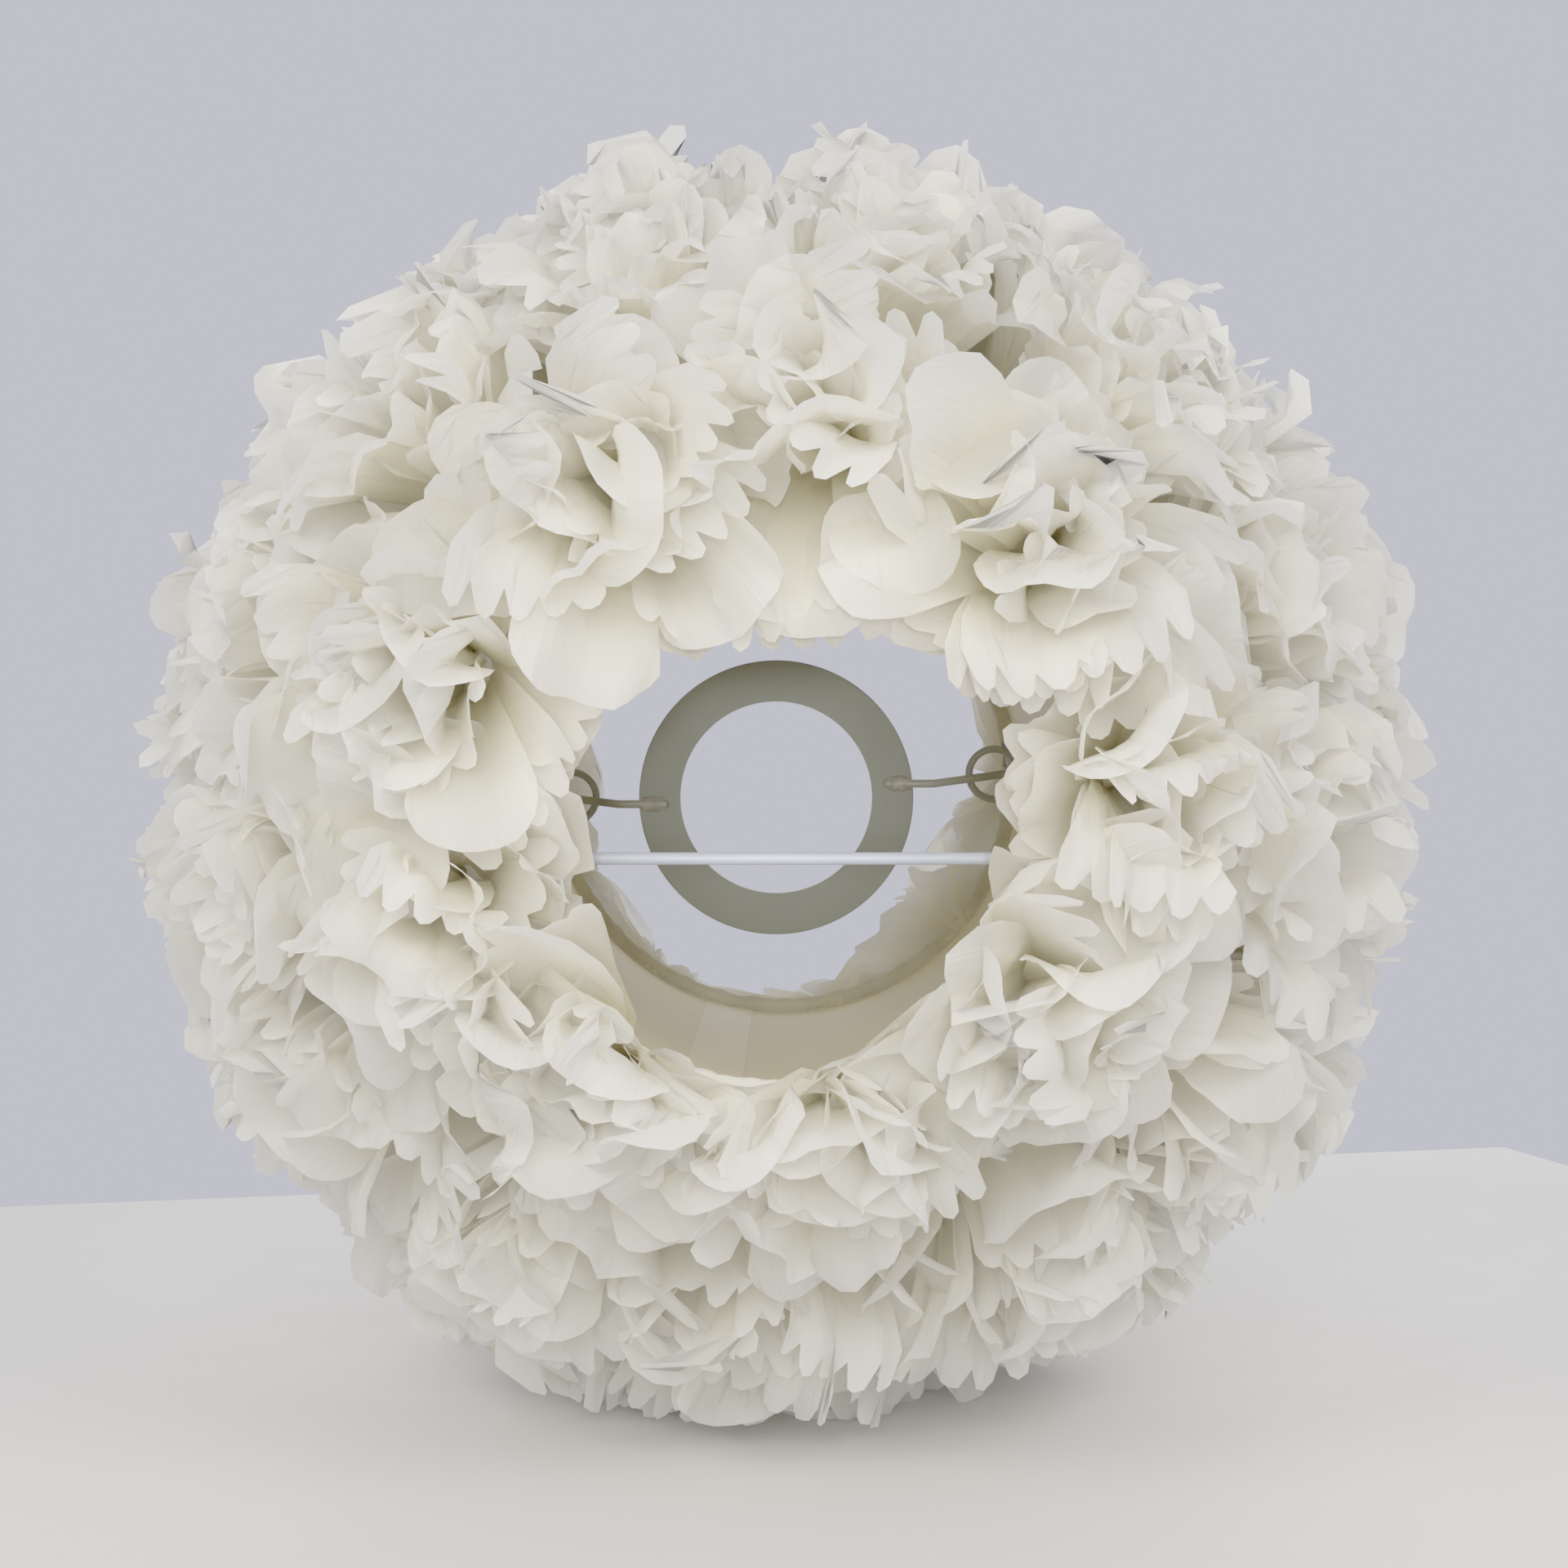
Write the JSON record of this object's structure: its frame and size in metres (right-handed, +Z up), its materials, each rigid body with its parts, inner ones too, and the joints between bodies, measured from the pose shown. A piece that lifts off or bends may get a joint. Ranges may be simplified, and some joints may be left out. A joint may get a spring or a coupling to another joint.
{
  "type": "flower lampshade",
  "caption": "Ball lampshade of layered white fabric blooms on a wire and plastic drum, with a flat fitter ring on two wire arms, lying on its side.",
  "frame": {"origin": "centre of the fitter ring's hole", "axes": "+Y along the shade's axis out of its fitter end, -Y out of its open mouth, +Z up as it lies on its side"},
  "size_m": [0.2352, 0.201, 0.2306],
  "materials": {
    "coated_wire": "satin",
    "fitter_metal": "satin",
    "liner_plastic": "satin",
    "sleeve_fabric": "matte",
    "binding_tape": "matte",
    "hot_glue": "gloss",
    "outer_petal_fabric": "matte",
    "inner_petal_fabric": "matte"
  },
  "bodies": {
    "root": {"fitter_ring": "fitter_metal", "fitter_arm_left": "fitter_metal", "fitter_arm_right": "fitter_metal", "arm_eye_left": "fitter_metal", "arm_eye_right": "fitter_metal", "top_hoop": "coated_wire", "bottom_hoop": "coated_wire", "bottom_crossbar": "coated_wire", "liner_drum": "liner_plastic", "liner_seam_strip": "liner_plastic", "drum_sleeve": "sleeve_fabric", "top_binding": "binding_tape", "bottom_binding": "binding_tape", "mouth_row_glue": "hot_glue", "mouth_row_outer_petals": "outer_petal_fabric", "mouth_row_inner_petals": "inner_petal_fabric", "lower_row_glue": "hot_glue", "lower_row_outer_petals": "outer_petal_fabric", "lower_row_inner_petals": "inner_petal_fabric", "lower_belly_row_glue": "hot_glue", "lower_belly_row_outer_petals": "outer_petal_fabric", "lower_belly_row_inner_petals": "inner_petal_fabric", "upper_belly_row_glue": "hot_glue", "upper_belly_row_outer_petals": "outer_petal_fabric", "upper_belly_row_inner_petals": "inner_petal_fabric", "upper_row_glue": "hot_glue", "upper_row_outer_petals": "outer_petal_fabric", "upper_row_inner_petals": "inner_petal_fabric", "crown_row_glue": "hot_glue", "crown_row_outer_petals": "outer_petal_fabric", "crown_row_inner_petals": "inner_petal_fabric"}
  },
  "joints": []
}
